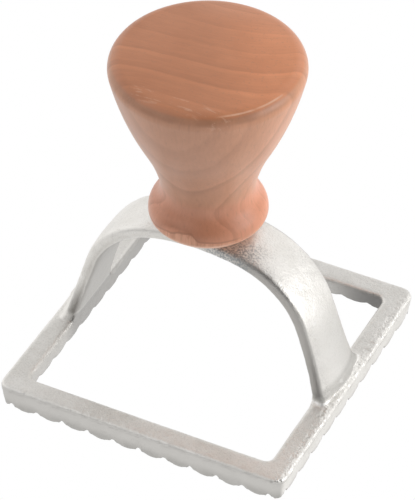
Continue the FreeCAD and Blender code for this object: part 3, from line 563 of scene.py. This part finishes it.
# The shape of the casting, in mm: the remeshing, and where its vertex groups lie.
VOXEL = 0.34
FRAME_TOP = 7.2
ARCH_START = 9
ARCH_FULL = 13
CORNER_X = 27
CORNER_Y = (4.5, 11)
CORNER_Z = (5.5, 13)
# How much of the smoothing the scallops take, and how many rounds each group has.
SCALLOP_SHARE = 0.13
SMOOTHING = {"soft": 20, "arch": 60, "corner": 10}
# The small hollows: each noise's scale per metre and its height in mm, and how far they lower the surface.
HOLLOWS = ((420, 0.045), (1100, 0.028))
LOWERED = 0.04
# The small lumps of metal that cling in the front corners of the feet: their places, radius and height in mm.
LUMPS = ((29.6, -8.9, 6.9), (-29.0, -8.9, 6.9), (30.6, -8.6, 7.4))
LUMP_RADIUS = 1.5
LUMP_HEIGHT = 0.30
LUMP_SCALE = 1900


def evaluated_mesh(piece):
    """The mesh that the piece's modifiers give, which takes the place of its mesh and modifiers."""
    bpy.context.view_layer.update()
    solved = piece.evaluated_get(bpy.context.evaluated_depsgraph_get())
    mesh = bpy.data.meshes.new_from_object(solved)
    piece.modifiers.clear()
    piece.data = mesh
    return mesh


def group_weights(spot):
    """How much each group smooths at a spot, which is in metres."""
    x, y, z = (length / MM for length in spot)
    in_corner = abs(x) > CORNER_X and CORNER_Z[0] < z < CORNER_Z[1] and CORNER_Y[0] < abs(y) < CORNER_Y[1]
    return {
        "soft": 1.0 if z > FRAME_TOP else SCALLOP_SHARE,
        "arch": min(max((z - ARCH_START) / (ARCH_FULL - ARCH_START), 0.0), 1.0),
        "corner": 1.0 if in_corner else 0.0}


def surface_height(spot):
    """How far the surface stands out at a spot, both in metres: the small hollows and the lumps."""
    height = sum(noise.noise(spot * scale) * depth for scale, depth in HOLLOWS) - LOWERED
    away = min((spot - Vector(place) * MM).length for place in LUMPS) / (LUMP_RADIUS * MM)
    if away < 1:
        height += LUMP_HEIGHT * (1 - away) * (0.5 + noise.noise(spot * LUMP_SCALE))
    return height * MM


def soft_casting():
    """The casting with the soft edges and small hollows that moulding and tumbling leave on it."""
    piece = add_object("casting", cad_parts["stamp_casting"].data.copy())
    even = piece.modifiers.new("even", "REMESH")
    even.mode = "VOXEL"
    even.voxel_size = VOXEL * MM
    mesh = evaluated_mesh(piece)
    groups = {name: piece.vertex_groups.new(name=name) for name in SMOOTHING}
    for vertex in mesh.vertices:
        for name, weight in group_weights(vertex.co).items():
            if weight > 0:
                groups[name].add([vertex.index], weight, "REPLACE")
    for name, rounds in SMOOTHING.items():
        ease = piece.modifiers.new(name, "SMOOTH")
        ease.factor = 0.5
        ease.iterations = rounds
        ease.vertex_group = name
    mesh = evaluated_mesh(piece)
    moves = [vertex.normal * surface_height(vertex.co) for vertex in mesh.vertices]
    for vertex, move in zip(mesh.vertices, moves):
        vertex.co += move
    mesh.shade_smooth()
    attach(piece, "root")
    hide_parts("stamp_casting")
    return piece


def dress(node, material):
    node.data.materials.clear()
    node.data.materials.append(material)


def floor():
    mesh = bpy.data.meshes.new("floor")
    corners = [(x * FLOOR_HALF, y * FLOOR_HALF, 0) for x, y in ((-1, -1), (1, -1), (1, 1), (-1, 1))]
    mesh.from_pydata(corners, [], [(0, 1, 2, 3)])
    piece = add_object("floor", mesh)
    material = bpy.data.materials.new("pale_floor")
    n = Nodes(material, "ShaderNodeOutputMaterial")
    # White to the camera, in gloss and through glass, and to other rays a grey that takes shadows.
    path = n.add("ShaderNodeLightPath").outputs
    seen = n.largest(path["Is Camera Ray"], path["Is Glossy Ray"], path["Is Transmission Ray"])
    lit = n.add("ShaderNodeAddShader")
    n.link(n.grey("ShaderNodeBsdfDiffuse", FLOOR_GREY).outputs[0], lit.inputs[0])
    n.link(n.grey("ShaderNodeEmission", FLOOR_GLOW).outputs[0], lit.inputs[1])
    n.choose(seen, lit, n.grey("ShaderNodeEmission", 1))
    mesh.materials.append(material)


def studio():
    scene = bpy.context.scene
    scene.view_settings.view_transform = "Standard"
    scene.world = bpy.data.worlds.new("studio")
    n = Nodes(scene.world, "ShaderNodeOutputWorld")
    way = n.add("ShaderNodeTexCoord").outputs["Generated"]
    boxes = []
    for turn, rise, level, narrow in SOFT_BOXES:
        towards = n.add("ShaderNodeVectorMath", operation="DOT_PRODUCT")
        n.link(way, towards.inputs[0])
        towards.inputs[1].default_value = direction(math.radians(AZIMUTH + turn), math.radians(rise))
        facing = n.math("MAXIMUM", towards.outputs["Value"], 0.0)
        boxes.append(n.times(n.math("POWER", facing, narrow), level))
    room = n.grey("ShaderNodeBackground", 1)
    n.link(n.plus(*boxes), room.inputs["Strength"])
    # The boxes light the object, and the camera sees a white room.
    n.choose(n.add("ShaderNodeLightPath").outputs["Is Camera Ray"], room, n.grey("ShaderNodeBackground", 1))


camera()
studio()
floor()
dress(soft_casting(), cast_metal())
dress(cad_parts["handle"], handle_wood())
dress(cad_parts["handle_screw"], screw_steel())
